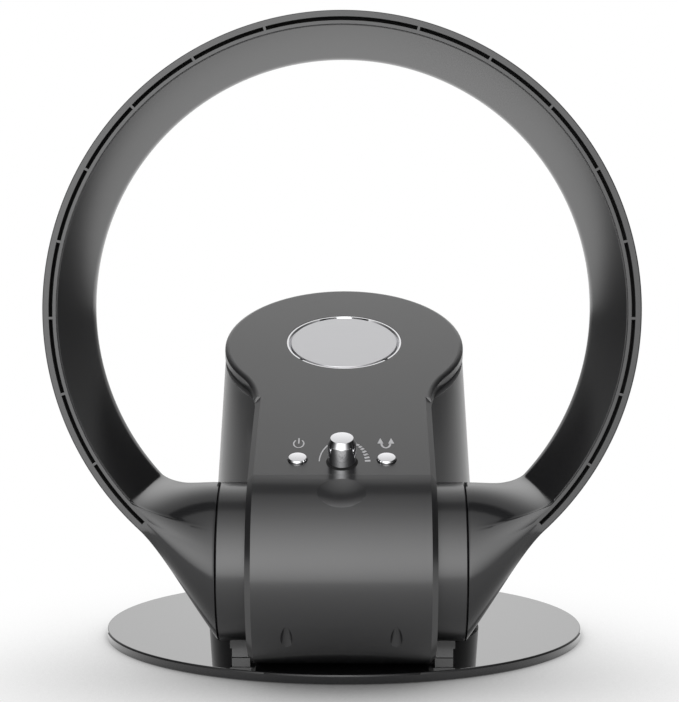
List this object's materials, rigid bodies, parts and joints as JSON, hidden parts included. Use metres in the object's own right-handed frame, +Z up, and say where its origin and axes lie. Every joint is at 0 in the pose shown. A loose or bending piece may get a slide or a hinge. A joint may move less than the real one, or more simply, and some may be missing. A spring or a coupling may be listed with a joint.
{
  "type": "bladeless fan",
  "caption": "Table fan with an upright bladeless air ring on two hollow legs, sloped control deck, round base.",
  "frame": {"origin": "centre of the round base disc, on the surface that the fan stands on", "axes": "+Z up, +X to the fan's left hand seen from its front, +Y to the back"},
  "size_m": [0.3632, 0.364, 0.4116],
  "materials": {
    "body_plastic": "satin gloss",
    "base_gloss": "high gloss",
    "inner_plastic": "moulded",
    "slide_plastic": "moulded",
    "rubber": "matt",
    "steel": "turned",
    "chrome": "polished",
    "satin_silver": "satin",
    "circuit_board": "lacquered"
  },
  "bodies": {
    "base": {"base_disc": "base_gloss", "base_feet": "rubber", "base_weight": "steel", "base_screws": "steel", "centre_pad": "rubber", "swivel_post": "steel", "glide_ring": "slide_plastic", "post_nut": "steel", "fixed_gear": "slide_plastic"},
    "housing": {"housing_shell": "body_plastic", "top_cover": "body_plastic", "floor_plate": "inner_plastic", "swivel_sleeve": "slide_plastic", "left_collar": "body_plastic", "right_collar": "body_plastic", "foot_glides": "body_plastic", "cap_plate": "satin_silver", "cap_bezel": "chrome", "intake_grille": "body_plastic", "bulkhead": "inner_plastic", "fan_shroud": "inner_plastic", "fan_motor": "steel", "control_board": "circuit_board", "dial_sensor": "inner_plastic", "power_switch": "inner_plastic", "swing_switch": "inner_plastic", "swing_motor": "steel", "inlet_socket": "inner_plastic", "housing_screws": "steel"},
    "ring": {"ring_shell": "body_plastic", "ring_liner": "body_plastic", "left_trunnion": "inner_plastic", "right_trunnion": "inner_plastic", "left_seal": "rubber", "right_seal": "rubber"},
    "impeller": {"impeller": "inner_plastic", "impeller_shaft": "steel"},
    "swing_pinion": {"swing_pinion": "slide_plastic"},
    "knob": {"speed_knob": "chrome", "knob_stem": "steel"},
    "power_key": {"power_button": "chrome"},
    "swing_key": {"swing_button": "chrome"}
  },
  "joints": [
    {"name": "body_swing", "type": "hinge", "parent": "base", "child": "housing", "pos_m": [0, 0, 0.0085], "axis": [0, 0, 1], "range_deg": [-40, 40]},
    {"name": "ring_tilt", "type": "hinge", "parent": "housing", "child": "ring", "pos_m": [0, -0.135, 0.072], "axis": [1, 0, 0], "range_deg": [-90, 15]},
    {"name": "impeller_spin", "type": "hinge", "parent": "housing", "child": "impeller", "pos_m": [0, 0, 0.098], "axis": [0, 1, 0], "continuous": true},
    {"name": "pinion_spin", "type": "hinge", "parent": "housing", "child": "swing_pinion", "pos_m": [0, 0.03755, 0.0342], "axis": [0, 0, 1], "range_deg": [-165, 165]},
    {"name": "knob_turn", "type": "hinge", "parent": "housing", "child": "knob", "pos_m": [0, -0.1478, 0.13598], "axis": [0, 0.4163, -0.9092], "range_deg": [0, 270]},
    {"name": "power_press", "type": "slide", "parent": "housing", "child": "power_key", "axis": [0, 0.4163, -0.9092], "range_m": [0, 0.001], "stiffness_N_per_m": 1500, "springref_m": -0.0005},
    {"name": "swing_press", "type": "slide", "parent": "housing", "child": "swing_key", "axis": [0, 0.4163, -0.9092], "range_m": [0, 0.001], "stiffness_N_per_m": 1500, "springref_m": -0.0005}
  ],
  "couplings": [
    {"joint": "pinion_spin", "follows": "body_swing", "ratio": 4}
  ]
}
